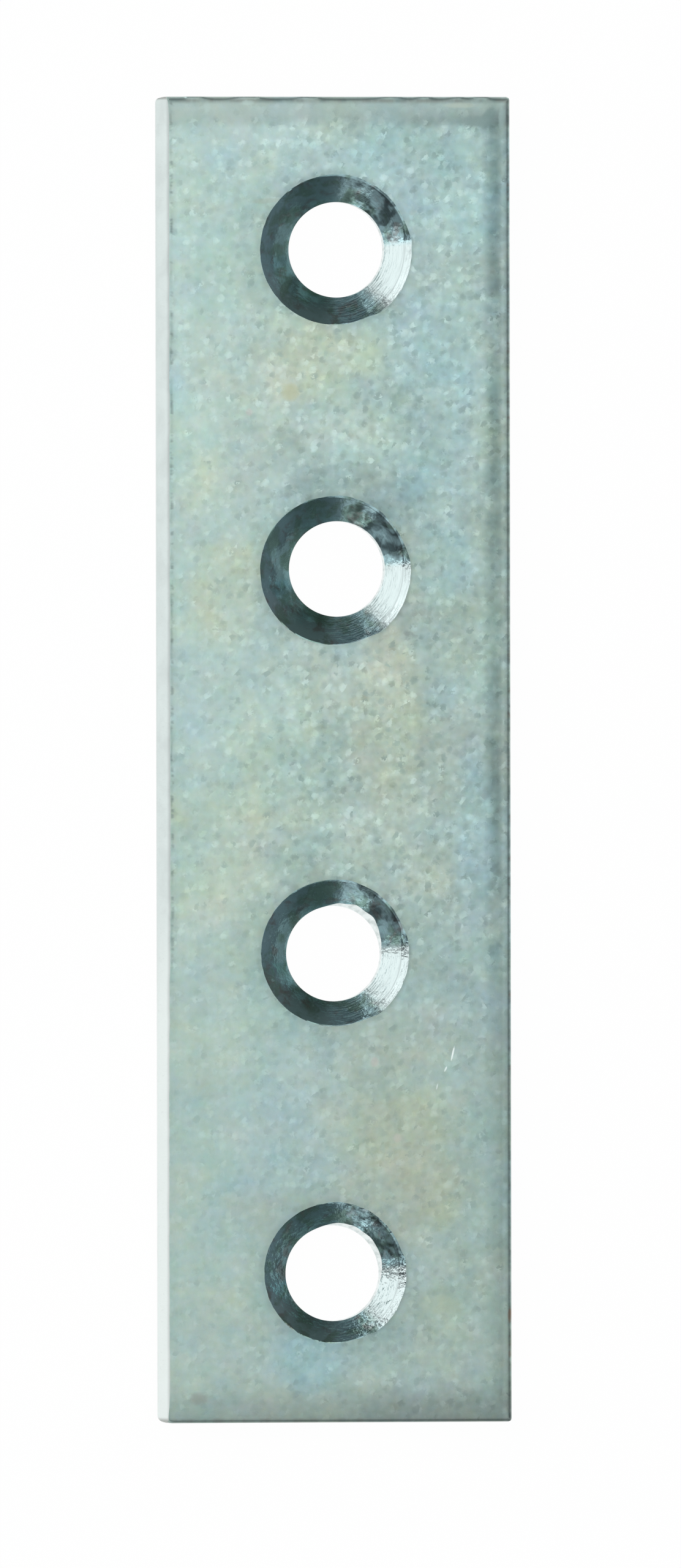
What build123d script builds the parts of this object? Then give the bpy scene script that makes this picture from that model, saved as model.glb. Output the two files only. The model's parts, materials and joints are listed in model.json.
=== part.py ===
# Mending plate: a flat zinc-plated steel strip with a row of four countersunk screw holes.
#
# The strip is sheared to width and then cropped to length, and nothing is machined after that,
# so its edges keep the form of the cut. A shear rolls one face down, burnishes the upper part
# of the wall and breaks the rest away at a slant, up to a sharp burr on the other face.
#
# Millimetres. The plate lies on its back: X runs across it, Y along it and Z up out of its
# front, with the origin at the centre of the back. The countersinks open upwards.

import os

from build123d import *

# Strip
plate_length = 75.0
plate_width = 20.0
plate_thickness = 2.0

# Screw holes, two pairs in one row along the middle
end_distance = 8.5  # from an end of the plate to its nearest hole
pair_pitch = 18.0  # between the two holes of a pair
bore_diameter = 5.3
seat_angle = 100.0  # included angle of the countersinks
seat_diameters = (8.4, 8.3, 8.1, 7.8)  # mouths from the +Y end, each fed in by hand

# Cut edges
side_roll_width = 1.5  # how far in from a long edge the face starts to roll down
head_roll_width = 1.6  # the same at the +Y end
foot_roll_width = 2.2  # and at the -Y end, where the blade was blunter
roll_depth = 0.2  # how far the face has sunk where it meets the wall
lip_radius = 0.25  # rounding between the rolled face and the wall
burnish_height = 0.6  # smooth upright part of the wall, under the roll
side_break_lean = 0.7  # how far the broken part of a long wall falls back to its burr
end_break_lean = 0.2  # the same on the end walls
burr_corner_radius = 0.4  # corners of the outline on the -X side, knocked off in tumbling
roll_corner_radius = 0.2  # corners on the +X side

half_length = plate_length / 2
half_width = plate_width / 2
roll_foot = plate_thickness - roll_depth
break_start = roll_foot - burnish_height

outer_hole = half_length - end_distance
inner_hole = outer_hole - pair_pitch
hole_places = (outer_hole, inner_hole, -inner_hole, -outer_hole)

with BuildPart() as plate:
    # Cross-section of the strip. The +X wall was cut from above and the -X wall from below,
    # so the second is the first turned end over end: its burr stands at the front.
    with BuildSketch(Plane.XZ) as strip_section:
        with BuildLine():
            TangentArc(
                (half_width - side_roll_width, plate_thickness),
                (half_width, roll_foot),
                tangent=(1, 0),
            )
            Polyline(
                (half_width, roll_foot),
                (half_width, break_start),
                (half_width - side_break_lean, 0),
                (-half_width + side_roll_width, 0),
            )
            TangentArc(
                (-half_width + side_roll_width, 0),
                (-half_width, roll_depth),
                tangent=(-1, 0),
            )
            Polyline(
                (-half_width, roll_depth),
                (-half_width, plate_thickness - break_start),
                (-half_width + side_break_lean, plate_thickness),
                (half_width - side_roll_width, plate_thickness),
            )
        make_face()
        front_lip = strip_section.vertices().group_by(Axis.X)[-1].sort_by(Axis.Y)[-1]
        back_lip = strip_section.vertices().group_by(Axis.X)[0].sort_by(Axis.Y)[0]
        fillet((front_lip, back_lip), radius=lip_radius)
    extrude(amount=half_length, both=True)

    # Side view that the two crop cuts leave, both of them made from above
    with BuildSketch(Plane.YZ) as crop_profile:
        with BuildLine():
            TangentArc(
                (half_length - head_roll_width, plate_thickness),
                (half_length, roll_foot),
                tangent=(1, 0),
            )
            Polyline(
                (half_length, roll_foot),
                (half_length, break_start),
                (half_length - end_break_lean, 0),
                (-half_length + end_break_lean, 0),
                (-half_length, break_start),
                (-half_length, roll_foot),
            )
            TangentArc(
                (-half_length + foot_roll_width, plate_thickness),
                (-half_length, roll_foot),
                tangent=(-1, 0),
            )
            Line(
                (-half_length + foot_roll_width, plate_thickness),
                (half_length - head_roll_width, plate_thickness),
            )
        make_face()
        head_lip = crop_profile.vertices().group_by(Axis.X)[-1].sort_by(Axis.Y)[-1]
        foot_lip = crop_profile.vertices().group_by(Axis.X)[0].sort_by(Axis.Y)[-1]
        fillet((head_lip, foot_lip), radius=lip_radius)
    extrude(amount=plate_width, both=True, mode=Mode.INTERSECT)

    # Outline from above, with its corners knocked off
    with BuildSketch() as outline:
        Rectangle(plate_width, plate_length)
        fillet(outline.vertices().group_by(Axis.X)[0], radius=burr_corner_radius)
        fillet(outline.vertices().group_by(Axis.X)[-1], radius=roll_corner_radius)
    extrude(amount=plate_thickness, mode=Mode.INTERSECT)

    # Countersunk screw holes
    for hole_place, seat_diameter in zip(hole_places, seat_diameters):
        with Locations((0, hole_place, plate_thickness)):
            CounterSinkHole(
                radius=bore_diameter / 2,
                counter_sink_radius=seat_diameter / 2,
                counter_sink_angle=seat_angle,
            )

plate.part.label = "plate"

os.makedirs("parts", exist_ok=True)
export_step(plate.part, "parts/plate.step")
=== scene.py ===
import json
import math

import bmesh
import bpy
import numpy as np
from mathutils import Matrix, Vector


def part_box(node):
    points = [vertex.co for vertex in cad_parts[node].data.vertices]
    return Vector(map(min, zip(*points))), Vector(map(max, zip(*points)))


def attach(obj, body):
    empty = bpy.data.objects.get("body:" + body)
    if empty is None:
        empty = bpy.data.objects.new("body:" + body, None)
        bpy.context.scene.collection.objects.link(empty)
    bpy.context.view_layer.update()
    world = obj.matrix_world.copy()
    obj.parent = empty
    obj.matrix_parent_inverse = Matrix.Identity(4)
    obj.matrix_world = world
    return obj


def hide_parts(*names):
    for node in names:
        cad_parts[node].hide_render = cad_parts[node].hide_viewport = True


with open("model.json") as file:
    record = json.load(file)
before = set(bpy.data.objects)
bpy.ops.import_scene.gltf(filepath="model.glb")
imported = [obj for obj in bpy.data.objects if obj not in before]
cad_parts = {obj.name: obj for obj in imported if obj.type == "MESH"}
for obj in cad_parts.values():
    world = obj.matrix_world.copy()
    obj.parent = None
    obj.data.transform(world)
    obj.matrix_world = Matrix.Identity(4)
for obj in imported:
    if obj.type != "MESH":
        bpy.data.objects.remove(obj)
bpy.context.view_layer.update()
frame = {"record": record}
perMetre = 1000.0

lowCorner, highCorner = (np.array(corner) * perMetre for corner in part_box("plate"))
halfWidth = (highCorner[0] - lowCorner[0]) / 2
halfLength = (highCorner[1] - lowCorner[1]) / 2
thickness = highCorner[2] - lowCorner[2]
print("frame loaded: strip", 2 * halfWidth, "x", 2 * halfLength, "x", thickness, "mm")

# What the shear left along the edges
edge = {
    "rollDepth": 0.2,  # how far the face has sunk where it meets a rolled wall
    "lip": 0.25,  # greatest rounding between the rolled face and a wall
    "sideLip": 0.2,
    "headLip": 0.25,
    "footLip": 0.16,
    "sideRoll": 1.5,  # how far in from a wall the face starts to roll
    "headRoll": 1.6,
    "footRoll": 2.2,
    "burnish": 0.6,  # upright, rubbed part of a wall, under the roll
    "burnishWave": 0.1,  # how far the border of that part wanders
    "sideLean": 0.61,  # how far the torn part falls back on a long side
    "footLean": 0.53,  # the same towards the foot, on the burr side
    "leanTurns": (-20, -6),  # stretch of Y over which the one turns into the other
    "endLean": 0.07,
    "headShort": 0.12,  # what the shear took off beyond the nominal length
    "footShort": 0.07,
    "headCorner": 0.26,  # plan rounding of the corners on the burr side
    "footCorner": 0.34,
    "rollCorner": 0.2,
    "burrSlope": 0.2,  # width of the slope inside the burr
    "burrDip": 0.02,  # how far the face lies below the burr
    "dipReach": 1.6,  # how far in that dip runs out
    "dipStarts": (-17, -9),  # stretch of Y over which it starts, towards the head
    "nicks": 0.035,  # depth of the nicks in the burr
    "nickFoot": 1.4,  # height at which they start
    "wholeTop": 0.12,  # height under the burr that isn't torn
    "tear": 0.03,  # depth of the ridges on a torn wall
    "tearOver": 0.35,  # share of the torn height over which the ridges set in
    "burrTear": 0.4,  # share of their depth on the burr side
    "hollow": 0.01,  # how far the middle of the face lies below the nominal thickness
    "swell": 0.006,  # broad unevenness of the face
    "ripple": 0.0025,
    "calm": (0.3, 1.2),  # the unevenness sets in at those distances from a wall
}

headReach, footReach = halfLength - edge["headShort"], halfLength - edge["footShort"]

# The countersinks, from the head of the plate down
seat = {
    "halfAngle": 50.0,
    # how far off its nominal place each bore was drilled, and how far its sink's axis is from it
    "shift": ((0.246, -0.238), (0.247, -0.26), (0.027, 0.017), (-0.065, -0.037)),
    "drift": ((-0.239, -0.030), (-0.306, -0.105), (-0.141, 0.036), (-0.062, 0.047)),
    "over": (-0.045, -0.03, 0.005, -0.02),  # how much deeper each was sunk, as growth of the mouth
    "boreOver": 0.045,  # how much wider each bore was drilled, in radius
    "push": (0.0, 0.0, 0.27, 0.21),  # how far the bore's upper edge was pushed out at one side
    "pushArc": ((20, 80), (20, 80), (22, 86), (6, 94)),  # arcs are in degrees from +X
    "pushSoft": 40,
    "pushWave": 0.25,
    "groove": 0.003,  # height of the tool marks
    "grooveApart": 0.13,
    "chatter": 0.010,
    "cutArc": (-80, 30, 60),  # where the cutter left its lines, and how softly that ends
    "cutLeast": 0.25,  # share of the lines' height elsewhere
    # facet round the mouth: how far it reaches in and out everywhere, where the tool bit and where it rubbed
    "facetIn": (0.02, 0.19, 0.01),
    "facetOut": (0.03, 0.16, 0.06),
    "biteArc": (-58, 14, 16),
    "rubArc": (12, 92, 18),
    "ragged": 0.022,  # how far the rim strays
    "raised": 0.010,  # burr left round the facet
    "raisedWide": 0.05,
}

# How finely the mesh is laid
grid = {
    "core": 6.0,  # half side of the square of rings round a hole
    "sideSteps": 40,  # steps along one side of that square
    "lipSteps": 6,
    "rollSteps": 8,
    "flatSteps": 9,
    "endSteps": 14,
    "endFlatSteps": 4,
    "wallSteps": 16,
    "skirtRings": 10,
    "facetRings": 5,
    "coneRings": 26,
    "boreRings": 6,
    "backRings": 8,
    "sharp": 19,  # degrees between faces that meet in a visible edge
}

farOff = 9.0  # farther from an edge than any of its marks reach

# Random waves: how many knots one has before it repeats, and which knot lies at the middle
waves = {"lineKnots": 4096, "lineMiddle": 2000.0, "sheetKnots": 512, "sheetMiddle": 200.0}


def smooth(share):
    # a share from 0 to 1, levelled at its ends
    return share * share * (3 - 2 * share)


def waveLine(place, cell, seed):
    # a smooth random wave along a line, from -1 to 1
    knots = np.random.default_rng(seed).uniform(-1, 1, waves["lineKnots"])
    spot = np.asarray(place, float) / cell + waves["lineMiddle"]
    low = np.floor(spot).astype(int)
    share = smooth(spot - low)
    return knots[low % len(knots)] * (1 - share) + knots[(low + 1) % len(knots)] * share


def waveSheet(x, y, cell, seed):
    # the same over a surface
    knots = np.random.default_rng(seed).uniform(-1, 1, (waves["sheetKnots"], waves["sheetKnots"]))
    spotX, spotY = (np.asarray(value, float) / cell + waves["sheetMiddle"] for value in (x, y))
    spotX, spotY = np.broadcast_arrays(spotX, spotY)
    lowX, lowY = np.floor(spotX).astype(int), np.floor(spotY).astype(int)
    shareX, shareY = smooth(spotX - lowX), smooth(spotY - lowY)
    highX, highY = (lowX + 1) % len(knots), (lowY + 1) % len(knots)
    lowX, lowY = lowX % len(knots), lowY % len(knots)
    near = knots[lowX, lowY] * (1 - shareX) + knots[highX, lowY] * shareX
    far = knots[lowX, highY] * (1 - shareX) + knots[highX, highY] * shareX
    return near * (1 - shareY) + far * shareY


def ease(value, low, high):
    # 0 below low, 1 above high and smooth between
    return smooth(np.clip((np.asarray(value, float) - low) / (high - low), 0, 1))


def within(angle, start, end, soft):
    # 1 inside an arc given in degrees, anticlockwise, with soft ends
    apart = np.abs((np.degrees(angle) - (start + end) / 2 + 180) % 360 - 180)
    return 1 - ease(apart, (end - start - soft) / 2, (end - start + soft) / 2)


def sunk(distance, width, lip):
    # how far a rolled face has dropped at that distance from its wall
    past = np.clip(width - distance, 0, width)
    arc = (width**2 + edge["rollDepth"] ** 2) / (2 * edge["rollDepth"])
    turn = np.clip(lip - distance, 0, lip)
    return arc - np.sqrt(arc**2 - past**2) + lip - np.sqrt(lip**2 - turn**2)


def chipped(along):
    # the lip at the head, which comes and goes along the edge
    wave = waveLine(along, 0.85, 91) + 0.4 * waveLine(along, 0.4, 92)
    least = 0.12
    return edge["headLip"] * (least + (1 - least) * ease(wave, -0.5, -0.1))


def deeper(first, second):
    # the greater of two drops, with the ridge between them softened unless one of them is slight
    softness, slight = 0.02, 0.05
    lesser = np.minimum(first, second)
    reach = softness * np.clip(lesser / slight, 0, 1) + 1e-9
    share = np.clip(reach - np.abs(first - second), 0, None) / reach
    return np.maximum(first, second) + share**2 * reach / 4


def tornShare(height, start, end):
    # how torn a wall is, from 0 at the rubbed band to 1 where the metal has parted
    return ease((height - start) / (end - start), 0.0, edge["tearOver"])


def tearing(along, height, share, seed):
    # ridges left by the tear: fine across and long down the wall
    ridges = 0.6 * waveSheet(along, height, 0.42, seed) + 0.4 * waveSheet(along, height * 0.3, 0.85, seed + 1)
    return edge["tear"] * share * (0.5 + 0.5 * ridges)


def burrWall(height, along):
    # the -X wall: rubbed below, and torn above up to a burr at the front
    start = edge["rollDepth"] + edge["burnish"] + edge["burnishWave"] * waveLine(along, 1.7, 11)
    fallen = np.clip((height - start) / (thickness - start), 0, 1)
    lean = edge["footLean"] + (edge["sideLean"] - edge["footLean"]) * ease(along, *edge["leanTurns"])
    share = tornShare(height, start, thickness) * (1 - ease(height, thickness - edge["wholeTop"], thickness))
    ridges = tearing(along, height, share, 13) * edge["burrTear"]
    nicks = edge["nicks"] * (0.5 + 0.5 * waveLine(along, 0.5, 12)) * ease(height, edge["nickFoot"], thickness)
    return -halfWidth + lean * fallen + ridges + nicks


def tornWall(height, along, reach, lean, cell, seed):
    # any other wall: rubbed above, and torn below down to a burr at the back
    wander = edge["burnishWave"] * waveLine(along, cell, seed)
    start = thickness - edge["rollDepth"] - edge["burnish"] + wander
    fallen = np.clip((start - height) / start, 0, 1)
    return reach - lean * fallen - tearing(along, height, tornShare(height, start, 0), seed + 2)


holes = []
for mount in frame["record"]["mounts"]:
    if mount["kind"] == "bore":
        holes.append({
            "y": mount["pos_m"][1] * perMetre,
            "bore": mount["dims"]["r_mm"] + seat["boreOver"],
            "land": mount["dims"]["length_mm"],
        })
for number, hole in enumerate(holes):
    sink = (thickness - hole["land"]) * math.tan(math.radians(seat["halfAngle"]))
    hole["mouth"] = hole["bore"] + sink + seat["over"][number]
    for name in ("shift", "drift", "push", "pushArc"):
        hole[name] = seat[name][number]


def fromWall(roll, rollSteps, margin, flatSteps):
    # distances in from a wall: close on the lip, wider over the roll and widest on the flat
    lip = edge["lip"]
    turn = lip * (1 - np.sin(np.linspace(math.pi / 2, 0, grid["lipSteps"] + 1)))
    over = np.linspace(lip, roll, rollSteps + 1)[1:]
    flat = np.linspace(roll, margin, flatSteps + 1)[1:]
    return np.concatenate([turn, over, flat])


core = grid["core"]
sideMargin = halfWidth - core
endCore = holes[0]["y"] + core
endMargin = halfLength - endCore

sideSteps = fromWall(edge["sideRoll"], grid["rollSteps"], sideMargin, grid["flatSteps"])
endSteps = fromWall(edge["headRoll"], grid["endSteps"], endMargin, grid["endFlatSteps"])

# Columns and rows of the grid: a place in the core, and a share of the way from there to the wall
acrossCore = np.linspace(-core, core, grid["sideSteps"] + 1)
outer = len(sideSteps) - 1
columnCore = np.concatenate([np.full(outer, -core), acrossCore, np.full(outer, core)])
sideShare = 1 - sideSteps / sideMargin
columnShare = np.concatenate([-sideShare[:-1], np.zeros(len(acrossCore)), sideShare[:-1][::-1]])

rowCore = [-endCore]
for hole in reversed(holes):
    start = rowCore[-1]
    if hole["y"] - core > start + 1e-6:
        steps = round((hole["y"] - core - start) / (2 * core / grid["sideSteps"]))
        rowCore += list(np.linspace(start, hole["y"] - core, steps + 1)[1:])
    hole["row"] = len(rowCore) - 1
    rowCore += list(hole["y"] + acrossCore[1:])
endShare = 1 - endSteps / endMargin
for hole in holes:
    hole["row"] += len(endSteps) - 1
    hole["column"] = outer
rowShare = np.concatenate([-endShare[:-1], np.zeros(len(rowCore)), endShare[:-1][::-1]])
outer = len(endSteps) - 1
rowCore = np.concatenate([np.full(outer, -endCore), rowCore, np.full(outer, endCore)])

columnCore, rowCore = np.meshgrid(columnCore, rowCore)
columnShare, rowShare = np.meshgrid(columnShare, rowShare)
flatX = columnCore + columnShare * sideMargin  # places if every wall stood upright
flatY = rowCore + rowShare * endMargin


def planPlace(pick, height):
    # where picked points of the grid lie at that height, between walls that lean
    x, y = flatX[pick], flatY[pick]
    left = burrWall(height, y)
    right = tornWall(height, y, halfWidth, edge["sideLean"], 1.9, 21)
    foot = tornWall(height, x, footReach, edge["endLean"], 1.5, 31)
    head = tornWall(height, x, headReach, edge["endLean"], 1.5, 41)
    shareX, shareY = columnShare[pick], rowShare[pick]
    end = np.where(shareY < 0, foot, head)
    x = columnCore[pick] + np.where(shareX < 0, shareX * (-core - left), shareX * (right - core))
    y = rowCore[pick] + shareY * (end - endCore)
    # corners knocked round
    onBurr = shareX < 0
    burrCorner = np.where(shareY > 0, edge["headCorner"], edge["footCorner"])
    radius = np.where(onBurr, burrCorner, edge["rollCorner"])
    nearSide = np.clip(1 - np.where(onBurr, x - left, right - x) / radius, 0, 1)
    nearEnd = np.clip(1 - (end - np.abs(y)) / radius, 0, 1)
    inX = nearSide * (1 - np.sqrt(1 - nearEnd * nearEnd / 2)) * radius
    inY = nearEnd * (1 - np.sqrt(1 - nearSide * nearSide / 2)) * radius
    return x + np.where(onBurr, inX, -inX), y - np.sign(y) * inY


def faceHeight(x, y, fromBurr, fromRight, fromHead, fromFoot):
    # the front: flat with a faint unevenness, rolled down at three edges, dipping beside the burr
    atSide = sunk(fromRight, edge["sideRoll"], edge["sideLip"])
    atHead = sunk(fromHead, edge["headRoll"], chipped(x))
    atFoot = sunk(fromFoot, edge["footRoll"], edge["footLip"])
    drop = deeper(atSide, deeper(atHead, atFoot))
    level = ease(fromRight, *edge["calm"]) * ease(np.minimum(fromHead, fromFoot), *edge["calm"])
    uneven = edge["swell"] * waveSheet(x, y, 3.1, 51) + edge["ripple"] * waveSheet(x, y, 1.1, 52)
    hollow = (edge["hollow"] + uneven) * ease(fromBurr, 0, 0.4)
    strength = ease(y, *edge["dipStarts"]) * (0.2 + 0.8 * ease(waveLine(y, 0.75, 54), -0.3, 0.4))
    width = edge["burrSlope"] * (1 + 0.35 * waveLine(y, 0.6, 55))
    form = ease(fromBurr, 0.0, width) * (1 - ease(fromBurr, width, edge["dipReach"]))
    dip = edge["burrDip"] * strength * form
    return thickness - drop - level * (hollow + dip)


everyPoint = slice(None)
fromHead, fromFoot = halfLength - flatY, halfLength + flatY
headDrop = sunk(fromHead, edge["headRoll"], edge["lip"])
footDrop = sunk(fromFoot, edge["footRoll"], edge["lip"])
topX, topY = planPlace(everyPoint, thickness - np.maximum(headDrop, footDrop))
fromBurr = np.where(columnShare < 0, (1 + columnShare) * (sideMargin - edge["sideLean"]), farOff)
topZ = faceHeight(flatX, flatY, fromBurr, halfWidth - flatX, fromHead, fromFoot)
backZ = sunk(halfWidth + flatX, edge["sideRoll"], edge["lip"])
backX, backY = planPlace(everyPoint, backZ)


def roundBlock(rows, columns):
    # rows and columns of the points met in going once round a block of the grid's squares
    row = [np.zeros(columns, int), np.arange(rows), np.full(columns, rows), np.arange(rows, 0, -1)]
    column = [np.arange(columns), np.full(rows, columns), np.arange(columns, 0, -1), np.zeros(rows, int)]
    return np.concatenate(row), np.concatenate(column)


class Shell:
    # gathers sheets of points, and welds them into one mesh
    def __init__(self):
        self.points, self.quads, self.finishes, self.total = [], [], [], 0

    def lay(self, x, y, z, finish, skip=None, closed=False):
        rows, columns = x.shape
        number = np.arange(rows * columns).reshape(rows, columns) + self.total
        if closed:
            number = np.concatenate([number, number[:, :1]], axis=1)
        quads = np.stack([number[:-1, :-1], number[:-1, 1:], number[1:, 1:], number[1:, :-1]], axis=-1)
        wanted = np.ones(quads.shape[:2], bool) if skip is None else ~skip
        finish = np.broadcast_to(np.reshape(finish, (-1, 1)), wanted.shape)  # one finish, or one for each row
        self.points.append(np.stack([x, y, z], axis=-1).reshape(-1, 3))
        self.quads.append(quads[wanted])
        self.finishes.append(finish[wanted])
        self.total += rows * columns

    def weld(self, name):
        mesh = bpy.data.meshes.new(name)
        points = np.concatenate(self.points) / perMetre
        mesh.from_pydata(points.tolist(), [], np.concatenate(self.quads).tolist())
        mesh.polygons.foreach_set("material_index", np.concatenate(self.finishes).astype(np.int32))
        work = bmesh.new()
        work.from_mesh(mesh)
        bmesh.ops.remove_doubles(work, verts=work.verts, dist=1e-6)
        bmesh.ops.recalc_face_normals(work, faces=work.faces)
        work.to_mesh(mesh)
        work.free()
        return mesh


face, wall, cone, bore, back = range(5)  # the order of the finishes
shell = Shell()

# Front and back sheets, with a square left out at each hole
cells = (flatX.shape[0] - 1, flatX.shape[1] - 1)
squares = np.zeros(cells, bool)
side = grid["sideSteps"]
for hole in holes:
    squares[hole["row"]:hole["row"] + side, hole["column"]:hole["column"] + side] = True
shell.lay(topX, topY, topZ, face, skip=squares)
shell.lay(backX, backY, backZ, back, skip=squares)
print("sheets laid:", cells)

# Walls, going once round the grid's outer points
around = roundBlock(*cells)
down = np.linspace(0, 1, grid["wallSteps"] + 1)[:, None]
wallZ = topZ[around] * (1 - down) + backZ[around] * down
wallX, wallY = np.empty_like(wallZ), np.empty_like(wallZ)
for step in range(len(down)):
    wallX[step], wallY[step] = planPlace(around, wallZ[step])
wallX[0], wallY[0] = topX[around], topY[around]
wallX[-1], wallY[-1] = backX[around], backY[around]
shell.lay(wallX, wallY, wallZ, wall, closed=True)
print("walls laid:", wallZ.shape)

# Holes: rings from the square in to the mouth, down the seat and the bore, and out again on the back
ringRow, ringColumn = roundBlock(side, side)
turn = -0.75 * math.pi + np.arange(len(ringRow)) * (2 * math.pi / len(ringRow))
cosTurn, sinTurn = np.cos(turn), np.sin(turn)
slope = 1 / math.tan(math.radians(seat["halfAngle"]))
normalOut, normalUp = 0.64, 0.77  # which way a seat faces, for its tool marks
bitten, rubbed = within(turn, *seat["biteArc"]), within(turn, *seat["rubArc"])
cut = seat["cutLeast"] + (1 - seat["cutLeast"]) * within(turn, *seat["cutArc"])


def facetReach(least, atBite, atRub):
    return least + atBite * bitten + atRub * rubbed


facetIn, facetOut = facetReach(*seat["facetIn"]), facetReach(*seat["facetOut"])
for number, hole in enumerate(holes):
    square = (hole["row"] + ringRow, hole["column"] + ringColumn)
    centreX, centreY = hole["shift"][0], hole["y"] + hole["shift"][1]
    axisX, axisY = centreX + hole["drift"][0], centreY + hole["drift"][1]
    apartBy = 9 * number  # so that no two holes are worn alike
    ragged = seat["ragged"] * waveSheet(cosTurn * hole["mouth"] + apartBy, sinTurn * hole["mouth"], 0.3, 81)
    rimR = hole["mouth"] + facetOut + ragged
    rimX, rimY = axisX + rimR * cosTurn, axisY + rimR * sinTurn
    # the skirt of face between the square and the rim, closer near the rim
    share = 1 - np.linspace(1, 0, grid["skirtRings"] + 1)[:, None] ** 2
    skirtX = flatX[square] * (1 - share) + rimX * share
    skirtY = flatY[square] * (1 - share) + rimY * share
    far = np.full(skirtX.shape, farOff)
    fromRim = (skirtX - rimX) ** 2 + (skirtY - rimY) ** 2
    burr = seat["raised"] * bitten * np.exp(-(fromRim / seat["raisedWide"] ** 2))
    skirtZ = faceHeight(skirtX, skirtY, far, far, far, far) + burr
    skirtZ[0] = topZ[square]
    shell.lay(skirtX, skirtY, skirtZ, face, closed=True)
    rimZ = skirtZ[-1]
    # facet
    share = np.linspace(0, 1, grid["facetRings"] + 1)[1:, None]
    facetR = rimR - (rimR - hole["mouth"] + facetIn) * share
    facetX, facetY = axisX + facetR * cosTurn, axisY + facetR * sinTurn
    facetZ = rimZ - facetIn * slope * share
    # cone, from the facet to the bore's upper edge
    share = np.linspace(0, 1, grid["coneRings"] + 1)[1:, None]
    roundEdge = turn * 2.65  # millimetres along the bore's edge
    uneven = 1 + seat["pushWave"] * waveLine(roundEdge, 0.5, 95 + number)
    pushed = hole["push"] * within(turn, *hole["pushArc"], seat["pushSoft"]) * uneven
    edgeR = hole["bore"] + pushed
    coneX = facetX[-1] * (1 - share) + (centreX + edgeR * cosTurn) * share
    coneY = facetY[-1] * (1 - share) + (centreY + edgeR * sinTurn) * share
    fromAxis = np.hypot(coneX - axisX, coneY - axisY)
    inward = hole["mouth"] - fromAxis
    lobes = waveSheet(cosTurn * 2.0 + apartBy, sinTurn * 2.0 + inward * 0.5, 0.55, 61 + number)
    toolMarks = waveLine(inward + 0.02 * lobes, seat["grooveApart"], 71 + number)
    offset = (seat["groove"] * cut * toolMarks + seat["chatter"] * lobes) * np.sin(share * math.pi) ** 0.5
    coneZ = rimZ - inward * slope + offset * normalUp
    coneX = coneX - offset * normalOut * (coneX - axisX) / fromAxis
    coneY = coneY - offset * normalOut * (coneY - axisY) / fromAxis
    # bore
    share = np.linspace(1, 0, grid["boreRings"] + 1)[1:, None]
    boreZ = coneZ[-1] * share
    boreX = centreX + (hole["bore"] + pushed * share) * cosTurn
    boreY = centreY + (hole["bore"] + pushed * share) * sinTurn
    seatX = np.concatenate([rimX[None, :], facetX, coneX, boreX])
    seatY = np.concatenate([rimY[None, :], facetY, coneY, boreY])
    seatZ = np.concatenate([rimZ[None, :], facetZ, coneZ, boreZ])
    ringFinish = np.array([cone] * (len(facetX) + len(coneX)) + [bore] * len(boreX))
    shell.lay(seatX, seatY, seatZ, ringFinish, closed=True)
    # the back round the bore
    share = np.linspace(0, 1, grid["backRings"] + 1)[:, None]
    skirtX = boreX[-1] * (1 - share) + flatX[square] * share
    skirtY = boreY[-1] * (1 - share) + flatY[square] * share
    shell.lay(skirtX, skirtY, backZ[square] * share, back, closed=True)
print("holes cut:", len(holes))


# The strip as one mesh, with notes for its finishes: where a point lies round its hole, how far it is
# beyond the mouth, and how torn it is
mesh = shell.weld("dressed_plate")
place = np.empty(len(mesh.vertices) * 3, np.float32)
mesh.vertices.foreach_get("co", place)
placeX, placeY, placeZ = place.reshape(-1, 3).astype(float).T * perMetre
axes = np.array([(0.0, hole["y"]) for hole in holes]) + seat["shift"] + seat["drift"]
nearest = np.abs(placeY[:, None] - axes[:, 1]).argmin(axis=1)
acrossX, acrossY = placeX - axes[nearest, 0], placeY - axes[nearest, 1]
apart = np.hypot(acrossX, acrossY) + 1e-6
beyond = apart - np.array([hole["mouth"] for hole in holes])[nearest]
burrSide = (placeX < -core) & (halfLength - np.abs(placeY) > 0.05)
torn = np.where(burrSide, 0.35 * ease(placeZ, 0.75, 1.0), 1 - ease(placeZ, 1.0, 1.25))


def writeNote(name, kind, field, values):
    # keeps a value for each point of the mesh
    mesh.attributes.new(name, kind, "POINT").data.foreach_set(field, values.astype(np.float32).ravel())


turned = np.stack([acrossX / apart, acrossY / apart, apart - (thickness - placeZ)], axis=-1)
writeNote("turned", "FLOAT_VECTOR", "vector", turned)
writeNote("beyond", "FLOAT", "value", np.clip(beyond, -3, 3))
writeNote("torn", "FLOAT", "value", torn)

plate = bpy.data.objects.new("dressed_plate", mesh)
bpy.context.scene.collection.objects.link(plate)
mesh.shade_smooth()
mesh.set_sharp_from_angle(angle=math.radians(grid["sharp"]))
triangles = sum(len(polygon.vertices) - 2 for polygon in mesh.polygons)
print("mesh welded:", len(mesh.vertices), "points,", triangles, "triangles")


class Strand:
    # a shader socket that takes part in Python's own sums
    def __init__(self, finish, socket):
        self.finish, self.socket = finish, socket

    def other(self, name):
        # another output of the same node
        return Strand(self.finish, self.socket.node.outputs[name])

    def __add__(self, more):
        return self.finish.combine("ADD", self, more)

    def __radd__(self, more):
        return self.finish.combine("ADD", more, self)

    def __sub__(self, less):
        return self.finish.combine("SUBTRACT", self, less)

    def __rsub__(self, less):
        return self.finish.combine("SUBTRACT", less, self)

    def __mul__(self, times):
        return self.finish.combine("MULTIPLY", self, times)

    def __rmul__(self, times):
        return self.finish.combine("MULTIPLY", times, self)


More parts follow.
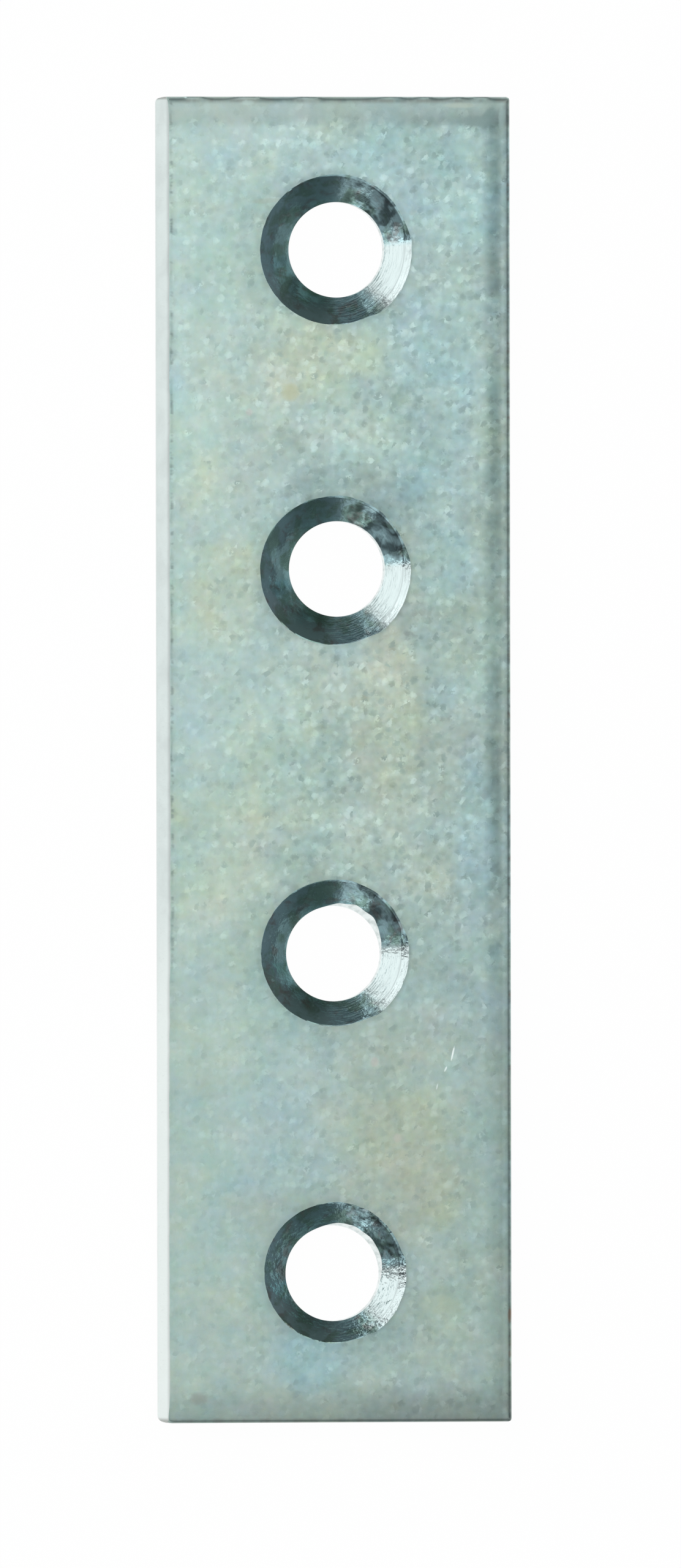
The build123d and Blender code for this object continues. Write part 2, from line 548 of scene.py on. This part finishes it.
class Finish:
    # a material whose nodes are laid down as its sums are written
    def __init__(self, name):
        self.material = bpy.data.materials.new(name)
        self.material.use_nodes = True
        self.tree = self.material.node_tree
        self.tree.nodes.clear()

    def node(self, kind, settings=None, sockets=None, out=0):
        made = self.tree.nodes.new(kind)
        for name, value in (settings or {}).items():
            setattr(made, name, value)
        for name, value in (sockets or {}).items():
            if isinstance(value, Strand):
                self.tree.links.new(value.socket, made.inputs[name])
            else:
                made.inputs[name].default_value = value
        return Strand(self, made.outputs[out]) if made.outputs else None

    def combine(self, operation, first, second):
        kinds = [value.socket.type if isinstance(value, Strand) else type(value) for value in (first, second)]
        if "RGBA" in kinds:
            first, second = (self.asColour(value) for value in (first, second))
            settings = {"data_type": "RGBA", "blend_type": operation}
            return self.node("ShaderNodeMix", settings, {0: 1.0, 6: first, 7: second}, 2)
        if "VECTOR" in kinds or tuple in kinds:
            first, second = (self.asVector(value) for value in (first, second))
            return self.node("ShaderNodeVectorMath", {"operation": operation}, {0: first, 1: second})
        return self.node("ShaderNodeMath", {"operation": operation}, {0: first, 1: second})

    def asColour(self, value):
        if isinstance(value, Strand):
            return value
        return (*value, 1.0) if isinstance(value, tuple) else (value, value, value, 1.0)

    def asVector(self, value):
        if isinstance(value, (Strand, tuple)):
            return value
        return (value, value, value)

    def place(self):
        # the point on the piece, in millimetres
        return self.node("ShaderNodeTexCoord", out="Object") * perMetre

    def note(self, name, out="Fac"):
        # what the mesh says at each point
        return self.node("ShaderNodeAttribute", {"attribute_name": name}, out=out)

    def across(self, place):
        # its X and Y
        x = self.node("ShaderNodeSeparateXYZ", sockets={0: place})
        return x, x.other("Y")

    def cloud(self, place, size, detail=2.0, rough=0.5, bend=0.0, shift=0.0):
        # soft noise whose patches are about that size in millimetres
        sockets = {"Vector": place + (shift, shift * 0.7, shift * 0.3), "Scale": 1.0 / size, "Detail": detail}
        sockets.update({"Roughness": rough, "Distortion": bend})
        return self.node("ShaderNodeTexNoise", {}, sockets)

    def fade(self, value, low, high, start=0.0, end=1.0):
        # start where the value is low, end where it is high, and smooth between
        sockets = {"Value": value, "From Min": low, "From Max": high, "To Min": start, "To Max": end}
        return self.node("ShaderNodeMapRange", {"interpolation_type": "SMOOTHSTEP"}, sockets)

    def between(self, value, low, high, soft):
        # 1 from low to high, with soft ends
        return self.fade(value, low - soft, low + soft) * self.fade(value, high - soft, high + soft, 1.0, 0.0)

    def blend(self, first, second, share):
        sockets = {0: share, 6: self.asColour(first), 7: self.asColour(second)}
        return self.node("ShaderNodeMix", {"data_type": "RGBA", "blend_type": "MIX"}, sockets, 2)

    def oval(self, place, spot):
        # how far a point is from an oval spot, 1 at its rim and 4 at twice its size; lean is in degrees
        wide, long, lean = spot["wide"], spot.get("long", 1.0), math.radians(spot.get("lean", 0))
        cosLean, sinLean = math.cos(lean), math.sin(lean)
        offset = place - (*spot["at"], 0.0)
        dot = {"operation": "DOT_PRODUCT"}
        side = (cosLean / wide, sinLean / wide, 0.0)
        ahead = (-sinLean / (wide * long), cosLean / (wide * long), 0.0)
        u = self.node("ShaderNodeVectorMath", dot, {0: offset, 1: side}, "Value")
        v = self.node("ShaderNodeVectorMath", dot, {0: offset, 1: ahead}, "Value")
        return u * u + v * v

    def bump(self, height, depth):
        # depth in millimetres for a height from 0 to 1
        sockets = {"Strength": 1.0, "Distance": depth / perMetre, "Height": height}
        return self.node("ShaderNodeBump", {}, sockets)

    def metal(self, colour, roughness, normal):
        sockets = {"Base Color": colour, "Roughness": roughness, "Metallic": 1.0, "Normal": normal}
        shader = self.node("ShaderNodeBsdfPrincipled", {}, sockets)
        self.node("ShaderNodeOutputMaterial", {}, {"Surface": shader})
        return self.material


# The passivated zinc of the front and back
zinc = {
    "plain": (0.370, 0.481, 0.437),
    "warm": (1.11, 1.00, 0.90),  # film colours at their strongest, as shares of the plain one
    "cool": (0.90, 1.00, 1.11),
    "pale": (0.600, 0.740, 0.700),
    "dark": (0.250, 0.350, 0.330),
    "shelf": (0.395, 0.480, 0.462),  # smoother and greyer where the shear's hold pressed the head
    "grime": (0.245, 0.275, 0.250),  # grime and painted shade on the lips
    "grimeCool": (0.195, 0.270, 0.255),
    "caught": (0.200, 0.250, 0.240),  # painted shade in the dip behind the burr
    "rust": (0.300, 0.230, 0.190),  # faint, on the lip at the right
    "toHead": 0.0029,  # painted light: paler by that share for each millimetre towards the head
    # painted shade: darker by that share for each millimetre towards the right
    "toRight": -0.0080,
    "crystal": 0.40,  # breadth of a crystal in millimetres
    "vary": 0.38,  # how much one crystal is brighter than another
    "glint": 0.27,  # how pale the palest get
    "pit": 0.44,  # and how dark the darkest
    "mottle": 0.85,
    "tint": (0.46, 0.0, 0.54),  # strength of the crystals' own colours
    "roughness": 0.46,
    "grain": 0.006,  # height of the crystals
}

# Broad drifts of the film: where, half width, length as a share of it where it isn't round, how far it leans
# in degrees, how much cooler and how much paler
drifts = (
    {"at": (5.2, 33.0), "wide": 4.5, "cool": 0.16, "pale": 0.02},
    {"at": (5.6, 19.5), "wide": 2.4, "long": 2.8, "lean": 4, "cool": 0.15, "pale": -0.03},
    {"at": (1.2, 15.0), "wide": 3.6, "long": 0.55, "cool": 0.12, "pale": -0.22},
    {"at": (0.8, 25.4), "wide": 3.0, "long": 0.45, "cool": 0.05, "pale": -0.09},
    {"at": (-7.5, 33.8), "wide": 2.0, "long": 1.1, "cool": 0.13, "pale": -0.06},
    {"at": (0.3, 34.0), "wide": 2.2, "long": 0.6, "cool": 0.10, "pale": -0.01},
    {"at": (6.2, 10.9), "wide": 1.9, "long": 1.3, "cool": 0.15, "pale": 0.01},
    {"at": (-0.6, 3.6), "wide": 1.9, "long": 1.5, "cool": -0.08, "pale": -0.03},
    {"at": (5.2, -6.2), "wide": 1.5, "cool": -0.10, "pale": 0.0},
    {"at": (-7.6, -8.2), "wide": 1.5, "long": 2.0, "cool": -0.10, "pale": 0.07},
    {"at": (5.6, -18.2), "wide": 1.6, "long": 0.8, "cool": 0.14, "pale": 0.0},
    {"at": (5.0, -28.2), "wide": 1.6, "long": 1.2, "cool": 0.0, "pale": 0.06},
    {"at": (-5.0, -25.8), "wide": 1.7, "long": 0.9, "cool": -0.10, "pale": -0.03},
    {"at": (-1.4, 22.6), "wide": 2.8, "long": 0.9, "cool": -0.20, "pale": 0.02},
    {"at": (-6.2, 9.5), "wide": 1.9, "long": 1.5, "cool": -0.16, "pale": 0.02},
    {"at": (2.9, 2.6), "wide": 1.9, "long": 2.6, "cool": -0.20, "pale": 0.04},
    {"at": (-5.6, -5.2), "wide": 1.8, "long": 2.0, "cool": -0.12, "pale": 0.02},
    {"at": (7.9, -4.5), "wide": 1.1, "long": 4.5, "cool": 0.16, "pale": -0.02},
    {"at": (-1.5, -13.5), "wide": 3.5, "long": 0.6, "cool": 0.08, "pale": -0.03},
    {"at": (4.2, -22.3), "wide": 3.3, "long": 1.5, "lean": -12, "cool": -0.20, "pale": 0.02},
    {"at": (-5.2, -21.0), "wide": 3.2, "long": 2.6, "cool": 0.06, "pale": 0.0},
    {"at": (-1.7, -34.0), "wide": 2.0, "long": 0.8, "cool": 0.18, "pale": -0.01},
    {"at": (-1.8, -25.8), "wide": 3.6, "long": 0.4, "cool": 0.0, "pale": -0.04},
)

# Marks from handling: the same, with how strongly it shows and its colour
marks = (
    {"at": (-2.5, 20.7), "wide": 0.55, "long": 0.9, "show": 0.6, "colour": (0.45, 0.46, 0.29)},
    {"at": (1.9, 22.4), "wide": 0.9, "long": 1.1, "show": 0.3, "colour": (0.50, 0.60, 0.4)},
    {"at": (-3.9, 31.5), "wide": 0.9, "long": 0.18, "lean": 3, "show": 0.4, "colour": (0.33, 0.37, 0.3)},
    {"at": (-4.85, 19.6), "wide": 0.22, "show": 0.5, "colour": (0.50, 0.46, 0.45)},
    {"at": (2.2, -17.1), "wide": 0.24, "long": 1.2, "show": 0.5, "colour": (0.48, 0.45, 0.42)},
    {"at": (3.5, -21.4), "wide": 0.26, "show": 0.5, "colour": (0.50, 0.47, 0.42)},
    {"at": (-7.85, -36.05), "wide": 0.52, "long": 0.7, "show": 0.5, "colour": (0.24, 0.25, 0.22)},
    {"at": (-6.6, -36.6), "wide": 0.40, "long": 1.3, "lean": 20, "show": 0.35, "colour": (0.27, 0.33, 0.28)},
    {"at": (6.64, -16.65), "wide": 0.055, "long": 7.5, "lean": -13, "show": 0.8, "colour": (0.86, 0.92, 0.9)},
    {"at": (6.24, -17.5), "wide": 0.05, "long": 3.2, "lean": -25, "show": 0.7, "colour": (0.80, 0.88, 0.86)},
    {"at": (5.75, -18.5), "wide": 0.04, "long": 4.5, "lean": -14, "show": 0.5, "colour": (0.72, 0.80, 0.78)},
    # dark smears along the mitre at the head's right corner, where the two rolls meet: smear with painted
    # shade
    {"at": (8.72, 36.2), "wide": 0.33, "long": 2.3, "lean": -32, "show": 0.8, "colour": (0.18, 0.26, 0.25)},
    {"at": (8.05, 36.0), "wide": 0.30, "long": 3.2, "lean": -85, "show": 0.75, "colour": (0.21, 0.29, 0.28)},
    {"at": (9.55, 36.2), "wide": 0.22, "long": 3.0, "lean": -4, "show": 0.5, "colour": (0.46, 0.62, 0.59)},
    {"at": (7.2, 36.9), "wide": 0.16, "long": 6.0, "lean": 90, "show": 0.3, "colour": (0.54, 0.58, 0.46)},
    {"at": (-7.2, 36.8), "wide": 0.22, "long": 1.3, "show": 0.25, "colour": (0.50, 0.64, 0.6)},
    {"at": (-4.9, 37.05), "wide": 0.16, "long": 2.4, "lean": 90, "show": 0.5, "colour": (0.50, 0.64, 0.6)},
    {"at": (6.0, -30.8), "wide": 1.2, "long": 0.5, "show": 0.35, "colour": (0.38, 0.44, 0.31)},
    {"at": (9.88, -31.4), "wide": 0.13, "long": 3.2, "show": 0.7, "colour": (0.34, 0.25, 0.18)},
    {"at": (9.88, -33.6), "wide": 0.10, "long": 2.2, "show": 0.5, "colour": (0.36, 0.29, 0.22)},
)


def zincFinish(name, onFront):
    skin = Finish(name)
    place = skin.place()
    x, y = skin.across(place)
    # the film's colour wanders over the strip, and painted light makes it paler towards the head and the burr
    patch = skin.cloud(place, 2.6, 3.0, 0.55, bend=0.4, shift=17.0)
    cool = (skin.cloud(place, 8.0, 3.0, bend=0.6, shift=3.0) - 0.5) * 0.35 + (patch - 0.5) * 0.35
    # painted light and shade: lighter towards the head and the burr side, darker towards the right
    pale = y * zinc["toHead"] + x * zinc["toRight"] + 1.0
    for drift in drifts if onFront else ():
        reach = skin.oval(place, drift) + (patch - 0.5) * 0.8
        here = skin.fade(reach, 0.0, 1.9, 1.0, 0.0)
        cool = cool + here * drift["cool"]
        pale = pale + here * drift["pale"]
    colour = skin.blend(zinc["warm"], zinc["cool"], cool * 2.5 + 0.5) * zinc["plain"]
    # crystals: mottling at every size, with pale and dark flecks, fainter towards the foot and on the shelf
    shelf = skin.fade(headReach - y, 0.9, 1.8, 1.0, 0.0)
    plenty = skin.fade(y, -16.0, -6.0, 0.62, 1.0) * skin.fade(x, -8.0, 0.0, 0.66, 1.12) * (1.0 - shelf * 0.35)
    mottle = skin.cloud(place, 5.0, 4.0, 1.0, shift=23.0)
    sockets = {"Vector": place, "Scale": 0.17, "Detail": 5.0, "Roughness": 0.95}
    tint = skin.node("ShaderNodeTexNoise", {}, sockets, "Color")
    fleck = skin.cloud(place, 0.50, 3.0, 0.8, shift=5.0)
    grain = skin.cloud(place, 0.11, 2.0, 0.6, shift=9.0)
    sockets = {"Vector": place * (1.0, 1.0, 0.0) + fleck * 0.7, "Scale": 1.0 / zinc["crystal"]}
    crystal = skin.node("ShaderNodeTexVoronoi", {}, sockets)
    bright, kind = skin.across(crystal.other("Color"))
    heart = skin.fade(crystal, 0.20, 0.80, 1.0, 0.0) * plenty
    colour = colour * ((tint - 0.5) * zinc["tint"] + 1.0)
    colour = colour * ((bright - 0.5) * heart * zinc["vary"] + 1.0)
    colour = skin.blend(colour, zinc["pale"], skin.fade(kind, 0.60, 1.0) * heart * zinc["glint"])
    colour = skin.blend(colour, zinc["dark"], skin.fade(kind, 0.35, 0.0) * heart * zinc["pit"])
    colour = colour * (pale + (mottle - 0.5) * zinc["mottle"] * plenty + (grain - 0.5) * 0.06)
    if onFront:
        # darker round the mouths
        beyond = skin.note("beyond")
        near = skin.fade(beyond, 0.1, 0.5, 0.11, 0.0) + skin.fade(beyond, 0.7, 1.9, 0.05, 0.0)
        colour = frontEdges(skin, place, colour * (1.0 - near))
    for mark in marks if onFront else ():
        reach = skin.oval(place, mark) + (fleck - 0.5) * 1.5
        colour = skin.blend(colour, mark["colour"], skin.fade(reach, 0.1, 1.5, mark["show"], 0.0))
    roughness = zinc["roughness"] + (patch - 0.5) * 0.12 + (grain - 0.5) * 0.10
    return skin.metal(colour, roughness, skin.bump(fleck * 0.5 + grain * 0.5, zinc["grain"]))


# Looks along the front's edges, in distances from the walls: what the shear and the press left, with painted
# shade and a painted highlight where the face rolls down
border = {
    "sideBand": (0.42, 0.85, 0.95, 1.75),  # painted shade: darker band by the +X wall where the face rolls down: it starts, is full, wanes, ends
    "sideDull": (0.38, 0.33, 0.32),
    "sideRub": 0.20,  # painted highlight: paler between that band and the lip
    "headBand": 1.4,
    "headShelf": 0.34,  # how far the shelf at the head takes its own colour
    # painted shade along the inner border of the head's shelf, on the left and on the right
    "headDull": 0.11,
    "headDullRight": 0.30,
    "footBand": (0.8, 2.9),
    # painted shade of the foot's roll, a little browner
    "footDull": (0.24, 0.28, 0.29),
    "lipWide": 0.12,
    "headGrime": 0.9,
    "footGrime": (0.22, 0.62),  # least and most
    "rusted": 0.55,
    # strength of the painted shade behind the burr
    "caught": 0.6,
}


def frontEdges(skin, place, colour):
    x, y = skin.across(place)
    fromRight, fromHead, fromFoot = halfWidth - x, headReach - y, footReach + y
    wander = skin.cloud(place, 1.6, 3.0, 0.6, shift=31.0)
    # painted shade: a darker band at the right where the face rolls down, scalloped inside, weaker for a
    # stretch near the foot
    start, full, wane, end = border["sideBand"]
    scallop = (skin.cloud(place * (0.3, 1.0, 1.0), 1.1, shift=33.0) - 0.5) * 0.6
    band = skin.fade(fromRight, start, full) * skin.fade(fromRight + scallop, wane, end, 1.0, 0.0)
    uneven = skin.fade(skin.cloud(place * (0.3, 1.0, 1.0), 2.4, 2.0, 0.6, shift=37.0), 0.3, 0.7, 0.5, 1.15)
    weaker = skin.fade(y, -22.0, 2.0, 0.15, 1.0)
    colour = colour * (1.0 - band * uneven * weaker * border["sideDull"])
    # painted highlight between the band and the lip
    colour = colour * (skin.between(fromRight, 0.2, 0.5, 0.12) * border["sideRub"] + 1.0)
    # the head: a smooth grey shelf, with painted shade darkening its inner border where the roll sets in
    inner = border["headBand"]
    shelf = skin.fade(fromHead + (wander - 0.5) * 1.2, inner - 0.5, inner + 0.3, 1.0, 0.0)
    colour = skin.blend(colour, zinc["shelf"], shelf * border["headShelf"])
    ledge = skin.fade(fromHead, 0.3, inner)
    ledge = ledge * skin.fade(fromHead + (wander - 0.5) * 0.8, inner, inner + 0.5, 1.0, 0.0)
    colour = colour * (1.0 - ledge * skin.fade(x, 1.5, 7.5, border["headDull"], border["headDullRight"]))
    # painted shade: slightly darker over the last few millimetres towards the head
    colour = colour * (1.0 - skin.fade(fromHead, 1.2, 3.2, 0.07, 0.0))
    # the foot: painted shade of the roll, a little browner, darker towards the edge and most at the right
    foot = skin.fade(fromFoot + (wander - 0.5) * 1.6, *border["footBand"], 1.0, 0.0)
    colour = colour * (1.0 - foot * skin.fade(x, -7.0, 7.0, 0.4, 0.95) * border["footDull"])
    # the lips: painted shade in patches at the right, with rust, and grime with painted shade in dashes at
    # the head and foot
    wide = border["lipWide"]
    onLip = skin.fade(fromRight, wide, wide + 0.12, 1.0, 0.0)
    stainsAndShade = skin.cloud(place * (0.2, 1.0, 1.0), 1.3, 4.0, 0.7, shift=59.0)
    # painted shade on the right lip, darker in patches
    colour = colour * (onLip * skin.fade(stainsAndShade, 0.40, 0.60, 0.30, -0.05) + 1.0)
    colour = skin.blend(colour, zinc["rust"], onLip * skin.fade(stainsAndShade, 0.56, 0.66) * border["rusted"])
    dashes = skin.cloud(place * (1.0, 0.2, 0.2), 0.8, 3.0, 0.6, shift=53.0)
    # grime and painted shade in dashes along the head's and foot's lips
    grime = skin.blend(zinc["grime"], zinc["grimeCool"], skin.fade(wander, 0.48, 0.62))
    atHead = skin.between(fromHead, 0.14, wide + 0.2, 0.13) * skin.fade(dashes, 0.36, 0.56, 0.45, 1.0)
    colour = skin.blend(colour, grime, atHead * border["headGrime"])
    atFoot = skin.fade(fromFoot, wide + 0.06, wide + 0.20, 1.0, 0.0)
    colour = skin.blend(colour, grime, atFoot * skin.fade(dashes, 0.42, 0.60, *border["footGrime"]))
    # painted shade behind the burr, in blobs, gone near the foot
    behind = 2 * halfWidth - edge["sideLean"] - 0.02 - fromRight
    blobs = skin.fade(skin.cloud(place * (0.4, 1.0, 1.0), 0.50, 2.0, 0.7, shift=67.0), 0.50, 0.64)
    caught = skin.between(behind, 0.04, 0.20, 0.08) * blobs * skin.fade(y, -15.0, -9.0)
    return skin.blend(colour, zinc["caught"], caught * border["caught"])


# The walls: clean where they were rubbed, stained where they were torn, with painted shade near the burr's
# crest and, with grime, on the head and foot walls
sheared = {
    "clean": (0.68, 0.755, 0.74),
    "stained": (0.58, 0.64, 0.63),
    "footPale": (0.82, 0.88, 0.86),
    "ridge": (0.40, 0.42, 0.40),
    "end": (0.24, 0.25, 0.225),  # grime and painted shade on the head and foot walls
    # painted shade near the burr's crest
    "burrDull": 0.28,
    "roughness": 0.30,
    "ridges": 0.012,  # height of the ridges' finest part
}


def wallFinish():
    skin = Finish("shearedWall")
    place = skin.place()
    x, y = skin.across(place)
    z = x.other("Z")
    torn = skin.note("torn")
    ridges = skin.cloud(place * (1.0, 1.0, 0.12), 0.16, 2.0, 0.6, shift=2.0)
    stain = skin.cloud(place, 1.9, 3.0, 0.6, bend=0.3, shift=8.0)
    stained = skin.fade(stain, 0.35, 0.7) * (0.3 + torn * 0.7)
    colour = skin.blend(sheared["clean"], sheared["stained"], stained)
    colour = skin.blend(colour, sheared["footPale"], skin.fade(y, -16.0, -6.0, 0.8, 0.0))
    colour = skin.blend(colour, sheared["ridge"], skin.fade(ridges, 0.58, 0.8) * torn * 0.45)
    # painted shade on the wall near the burr's crest
    burr = skin.fade(z, thickness - 0.35, thickness) * skin.fade(x, -8.0, -9.0)
    colour = colour * (1.0 - burr * sheared["burrDull"])
    # grime and painted shade on the head and foot walls
    ends = skin.fade(headReach - y, 0.05, 0.22, 0.75, 0.0) + skin.fade(footReach + y, 0.1, 0.35, 0.7, 0.0)
    colour = skin.blend(colour, sheared["end"], ends)
    roughness = sheared["roughness"] + torn * 0.2 + (ridges - 0.5) * 0.1
    return skin.metal(colour, roughness, skin.bump(ridges, sheared["ridges"]))


# The turned seats: a neutral painted highlight colour in the zone that mirrors the lamp on the left, with the
# zinc bath's colours in the rest
turnedSteel = {
    # painted highlight colour: neutral where the seat mirrors the lamp on the left
    "clean": (0.308, 0.356, 0.353),
    "plain": (0.245, 0.365, 0.385),
    "green": (0.150, 0.235, 0.200),
    "brown": (0.190, 0.185, 0.180),
    "teal": (0.380, 0.520, 0.530),
    "warmer": (1.12, 0.91, 0.86),  # towards the foot on the left, as shares
    "dull": (0.22, 0.15, 0.17),  # painted shade: how much darker the left of the seat gets at its head and foot
    "rimDull": 0.4,  # and how much painted shade darkens the rim on the upper right
    "blotches": (-0.55, 0.75),  # darkest and brightest on the upper right
    "roughness": 0.11,
    "lines": 8.0,  # tool lines for each millimetre down the slope
    "crease": 0.22,  # depth of the painted shade line under the facet
    "lumps": 0.036,  # height of the lumps between the lines
}


def seatFinish():
    skin = Finish("turnedSeat")
    place = skin.place()
    x, y = skin.across(place)
    turned = skin.note("turned", "Vector")
    beyond = skin.note("beyond")
    right, up = skin.across(turned)
    # where on the seat a point is
    # the zone that mirrors the lamp on the left, which takes the painted highlight colour
    clean = skin.fade(right, 0.54, 0.74) * skin.fade(up, 0.04, 0.18, 1.0, 0.0)
    front = skin.fade(right, -0.4, 0.5)
    leftHalf = skin.fade(right, 0.3, -0.2)
    corner = skin.fade(right, 0.1, 0.4) * skin.fade(up, 0.05, 0.3)
    rings = skin.cloud(turned * (1.9, 1.9, turnedSteel["lines"]), 1.0, 3.0, 0.6, shift=4.0)
    lumps = skin.cloud(place, 0.36, 2.0, 0.6, shift=15.0)
    broad = skin.cloud(place, 1.2, 3.0, 0.6, bend=0.4, shift=12.0)
    rust = skin.cloud(place, 0.9, 3.0, 0.6, bend=0.3, shift=33.0)
    blotch = skin.cloud(place, 0.75, 2.0, 0.6, bend=0.5, shift=71.0)
    # colours of the bath
    colour = skin.blend(turnedSteel["plain"], turnedSteel["green"], skin.fade(broad, 0.46, 0.62) * 0.85)
    colour = skin.blend(colour, turnedSteel["brown"], skin.fade(rust, 0.54, 0.68) * 0.65)
    colour = skin.blend(colour, turnedSteel["teal"], skin.fade(lumps, 0.60, 0.78) * 0.5)
    colour = colour * (1.0 + corner * skin.fade(blotch, 0.36, 0.64, *turnedSteel["blotches"]))
    # painted shade on the left half of the seat, towards its head and foot
    dull = skin.fade(right, -0.25, 0.2, 1.0, 0.0) * skin.fade(up * up, 0.12, 0.7)
    colour = colour * (1.0 - dull * skin.fade(up, -0.3, 0.3, 2.0, 1.0) * turnedSteel["dull"])
    lowerLeft = skin.fade(up, -0.1, -0.8) * leftHalf
    colour = colour * skin.blend((1.0, 1.0, 1.0), turnedSteel["warmer"], lowerLeft)
    # painted light: paler towards the rim on the left; painted shade: darker there on the upper right
    rimward = leftHalf * skin.fade(up, 0.95, 0.7)
    colour = colour * (skin.fade(beyond, -1.45, -0.1, -0.14, 0.60) * rimward + 1.0)
    upperRight = skin.fade(right, 0.1, 0.35) * skin.fade(up, 0.1, 0.3)
    colour = colour * (1.0 - skin.fade(beyond, -0.8, -0.25) * upperRight * turnedSteel["rimDull"])
    # the painted highlight colour, tool lines and painted shade in the crease under the facet
    colour = skin.blend(colour, turnedSteel["clean"], clean)
    colour = colour * (1.0 - skin.fade(rings, 0.48, 0.75) * front * skin.fade(up, -0.7, -0.2, 0.34, 0.18))
    colour = colour * (1.0 - skin.between(beyond, -0.25, -0.19, 0.02) * clean * turnedSteel["crease"])
    rougher = skin.fade(broad, 0.45, 0.75) * 0.10 + skin.fade(up, 0.80, 0.97) * 0.12
    lumpy = (front * 0.7 + 0.3) * skin.fade(y, -4.0, 4.0, 1.0, 0.65) * skin.fade(y, -23.0, -17.0, 1.9, 1.0)
    lined = front * skin.fade(up, -0.75, -0.45, 1.0, 0.25)
    height = rings * lined + lumps * lumpy * 0.75
    return skin.metal(colour, turnedSteel["roughness"] + rougher, skin.bump(height, turnedSteel["lumps"]))


drilled = {"pale": (0.84, 0.91, 0.90), "dark": (0.62, 0.69, 0.68), "roughness": 0.3, "streaks": 0.008}


def boreFinish():
    skin = Finish("boreWall")
    streaks = skin.cloud(skin.note("turned", "Vector") * (9.0, 9.0, 0.8), 1.0, 2.0, 0.6, shift=6.0)
    colour = skin.blend(drilled["pale"], drilled["dark"], skin.fade(streaks, 0.4, 0.7))
    return skin.metal(colour, drilled["roughness"] + streaks * 0.15, skin.bump(streaks, drilled["streaks"]))


# In the order of face, wall, cone, bore and back
front = zincFinish("zincPassivate", True)
for made in (front, wallFinish(), seatFinish(), boreFinish(), zincFinish("zincBack", False)):
    mesh.materials.append(made)
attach(plate, "root")
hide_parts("plate")
print("finishes made:", len(mesh.materials))

# Floor: a pale board, in metres, that stays white behind the strip and keeps its shadow
ground = {"half": 4.0, "colour": (0.88, 0.88, 0.88), "white": 0.98}
floorMesh = bpy.data.meshes.new("floor")
half = ground["half"]
corners = [(-half, -half, 0), (half, -half, 0), (half, half, 0), (-half, half, 0)]
floorMesh.from_pydata(corners, [], [(0, 1, 2, 3)])
floor = bpy.data.objects.new("floor", floorMesh)
bpy.context.scene.collection.objects.link(floor)
board = Finish("floorBoard")
rays = board.node("ShaderNodeLightPath", out="Is Camera Ray")
seen = rays + rays.other("Is Glossy Ray") + rays.other("Is Transmission Ray")
plain = board.node("ShaderNodeBsdfDiffuse", {}, {"Color": (*ground["colour"], 1.0)})
white = board.node("ShaderNodeEmission", {}, {"Color": (1.0, 1.0, 1.0, 1.0), "Strength": 1.0})
surface = board.node("ShaderNodeMixShader", {}, {0: seen * ground["white"], 1: plain, 2: white})
board.node("ShaderNodeOutputMaterial", {}, {"Surface": surface})
floorMesh.materials.append(board.material)

# Studio, in metres: a large soft light overhead, a tall panel on the left with a low one on from it towards
# the head, and dimmer ones round to the foot
overhead = {"at": (-0.10, 0.14, 1.15), "size": (1.5, 1.5), "level": 1.2}
panels = {
    "mainPanel": {"from": (-0.40, -0.031), "to": (-0.287, 0.394), "high": 0.54, "level": 2.4},
    "tailPanel": {"from": (-0.287, 0.394), "to": (-0.19, 0.46), "high": 0.13, "level": 2.5},
    "edgePanel": {"from": (-0.40, -0.033), "to": (-0.375, -0.10), "high": 0.24, "level": 0.95},
    "cornerPanel": {"from": (-0.375, -0.10), "to": (-0.25, -0.42), "high": 0.20, "level": 0.29},
    "frontPanel": {"from": (-0.257, -0.445), "to": (-0.027, -0.513), "high": 0.18, "level": 1.15},
}


def hang(name, place, towards, size, level):
    light = bpy.data.lights.new(name, "AREA")
    light.shape = "RECTANGLE"
    light.size, light.size_y = size
    light.energy = level * math.pi * size[0] * size[1]  # so that its face shines at that level
    holder = bpy.data.objects.new(name, light)
    holder.location = place
    holder.rotation_euler = Vector(towards).to_track_quat("-Z", "Y").to_euler()
    bpy.context.scene.collection.objects.link(holder)


hang("overhead", overhead["at"], (0.0, 0.0, -1.0), overhead["size"], overhead["level"])
for name, panel in panels.items():
    start, end = Vector(panel["from"]), Vector(panel["to"])
    middle = (start + end) / 2
    facing = Vector((start.y - end.y, end.x - start.x))
    if facing.dot(middle) > 0:
        facing.negate()
    size = ((end - start).length, panel["high"])
    hang(name, (*middle, panel["high"] / 2), (*facing, 0.0), size, panel["level"])
room = (0.185, 0.205, 0.22, 1.0)  # what the walls of the room give back
world = bpy.data.worlds.new("studio")
bpy.context.scene.world = world
world.use_nodes = True
background = world.node_tree.nodes["Background"]
background.inputs["Color"].default_value = room
background.inputs["Strength"].default_value = 1.0

# Camera: almost straight above, a few degrees to the left, with angles in degrees and lengths in millimetres
view = {"left": 6.5, "head": 0.2, "turn": -0.10, "aim": (0.29, -1.40), "away": 1350.0, "frameHeight": 88.47}
camera = bpy.data.cameras.new("camera")
camera.sensor_width = 36.0
camera.lens = camera.sensor_width * view["away"] / view["frameHeight"]
cameraHolder = bpy.data.objects.new("camera", camera)
toCamera = Vector((-math.sin(math.radians(view["left"])), math.sin(math.radians(view["head"])), 0))
toCamera.z = math.sqrt(1 - toCamera.length_squared)
aimPoint = Vector((*view["aim"], thickness))
cameraHolder.location = (aimPoint + toCamera * view["away"]) / perMetre
across = Vector((0, 1, 0)).cross(toCamera).normalized()
level = Matrix((across, toCamera.cross(across), toCamera)).transposed()
cameraHolder.rotation_euler = (level @ Matrix.Rotation(math.radians(view["turn"]), 3, "Z")).to_euler()
bpy.context.scene.collection.objects.link(cameraHolder)
bpy.context.scene.camera = cameraHolder
camera.clip_start, camera.clip_end = 0.01, 50.0
bpy.context.scene.view_settings.view_transform = "Standard"
print("studio set")
